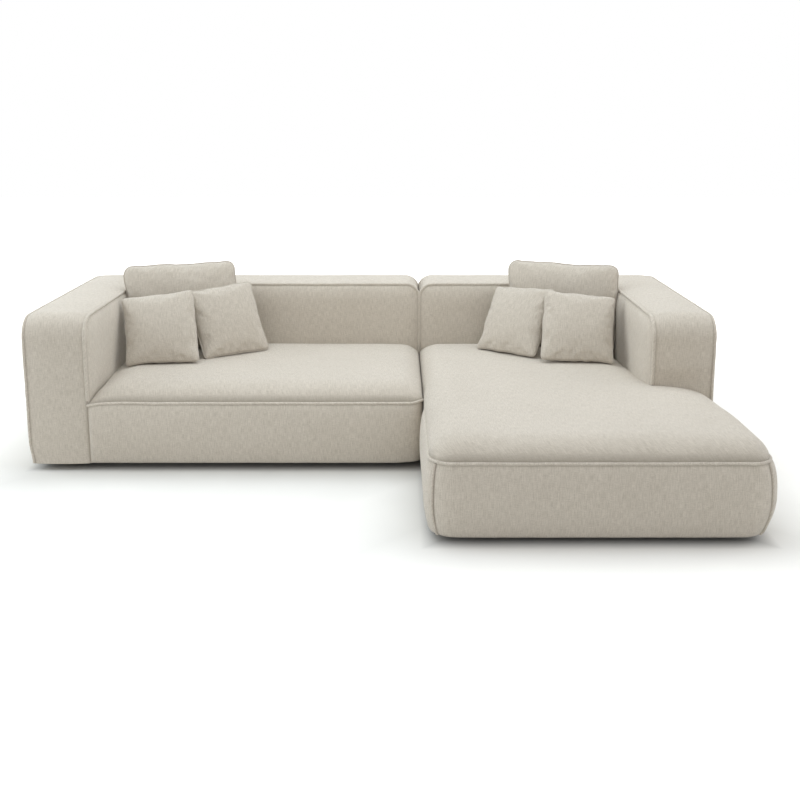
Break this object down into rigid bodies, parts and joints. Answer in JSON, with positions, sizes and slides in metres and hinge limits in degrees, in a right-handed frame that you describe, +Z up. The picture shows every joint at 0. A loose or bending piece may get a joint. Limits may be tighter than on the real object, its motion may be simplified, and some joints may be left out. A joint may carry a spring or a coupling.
{
  "type": "corner sofa",
  "caption": "Low corner sofa with a long left part, a chaise part to the right, wide padded arms and back joined as a continuous wall, crowned seats, loose back cushions and throw pillows",
  "frame": {"origin": "On the floor, at the middle of the length and of the depth.", "axes": "X runs along the length, from the arm end to the chaise end; Y runs from the front to the back; Z up."},
  "size_m": [3.02, 1.975, 0.8154],
  "materials": {
    "melange_cloth": "matte",
    "foam": "matte",
    "timber": "matte",
    "board": "matte",
    "zinc_steel": "satin",
    "webbing": "matte",
    "black_plastic": "matte",
    "dust_cloth": "matte"
  },
  "bodies": {
    "sofa": {"left_arm_foam": "foam", "left_arm_front_board": "board", "left_arm_front_foot": "black_plastic", "left_arm_inner_board": "board", "left_arm_outer_board": "board", "left_arm_rail": "timber", "left_arm_rear_foot": "black_plastic", "left_arm_top_board": "board", "left_back_corner_post": "timber", "left_back_end_post": "timber", "left_back_foam": "foam", "left_back_top_rail": "timber", "left_back_webbing": "webbing", "left_dust_cloth": "dust_cloth", "left_front_rail": "timber", "left_link_front_foot": "black_plastic", "left_link_rail": "timber", "left_link_rear_foot": "black_plastic", "left_outer_rail": "timber", "left_rear_rail": "timber", "left_seat_cover": "melange_cloth", "left_seat_foam": "foam", "left_seat_rail": "timber", "left_spring_unit": "zinc_steel", "left_wall_cover": "melange_cloth", "link_plate_front": "zinc_steel", "link_plate_rear": "zinc_steel", "right_arm_cross_rail": "timber", "right_arm_foam": "foam", "right_arm_front_board": "board", "right_arm_front_foot": "black_plastic", "right_arm_inner_board": "board", "right_arm_outer_board": "board", "right_arm_rail": "timber", "right_arm_rear_foot": "black_plastic", "right_arm_top_board": "board", "right_back_corner_post": "timber", "right_back_end_post": "timber", "right_back_foam": "foam", "right_back_top_rail": "timber", "right_back_webbing": "webbing", "right_dust_cloth": "dust_cloth", "right_front_rail": "timber", "right_link_front_foot": "black_plastic", "right_link_rail": "timber", "right_link_rear_foot": "black_plastic", "right_outer_rail": "timber", "right_rear_rail": "timber", "right_seat_cover": "melange_cloth", "right_seat_foam": "foam", "right_seat_rail": "timber", "right_spring_unit": "zinc_steel", "right_wall_cover": "melange_cloth"},
    "left_back_cushion_body": {"left_back_cushion": "melange_cloth"},
    "right_back_cushion_body": {"right_back_cushion": "melange_cloth"},
    "left_pillow_inner_body": {"left_pillow_inner": "melange_cloth"},
    "right_pillow_inner_body": {"right_pillow_inner": "melange_cloth"},
    "left_pillow_outer_body": {"left_pillow_outer": "melange_cloth"},
    "right_pillow_outer_body": {"right_pillow_outer": "melange_cloth"}
  },
  "joints": [
    {"name": "left_back_cushion_lift", "type": "slide", "parent": "sofa", "child": "left_back_cushion_body", "axis": [-0.0658, 0.2151, 0.9744], "range_m": [0, 0.5]},
    {"name": "right_back_cushion_lift", "type": "slide", "parent": "sofa", "child": "right_back_cushion_body", "axis": [0.0544, 0.2183, 0.9744], "range_m": [0, 0.5]},
    {"name": "left_pillow_inner_lift", "type": "slide", "parent": "sofa", "child": "left_pillow_inner_body", "axis": [0.1961, 0, 0.9806], "range_m": [0, 0.5]},
    {"name": "right_pillow_inner_lift", "type": "slide", "parent": "sofa", "child": "right_pillow_inner_body", "axis": [-0.3387, 0, 0.9409], "range_m": [0, 0.5]},
    {"name": "left_pillow_outer_lift", "type": "slide", "parent": "sofa", "child": "left_pillow_outer_body", "axis": [0, -0.2, 0.9798], "range_m": [0, 0.5]},
    {"name": "right_pillow_outer_lift", "type": "slide", "parent": "sofa", "child": "right_pillow_outer_body", "axis": [0, -0.2, 0.9798], "range_m": [0, 0.5]}
  ]
}
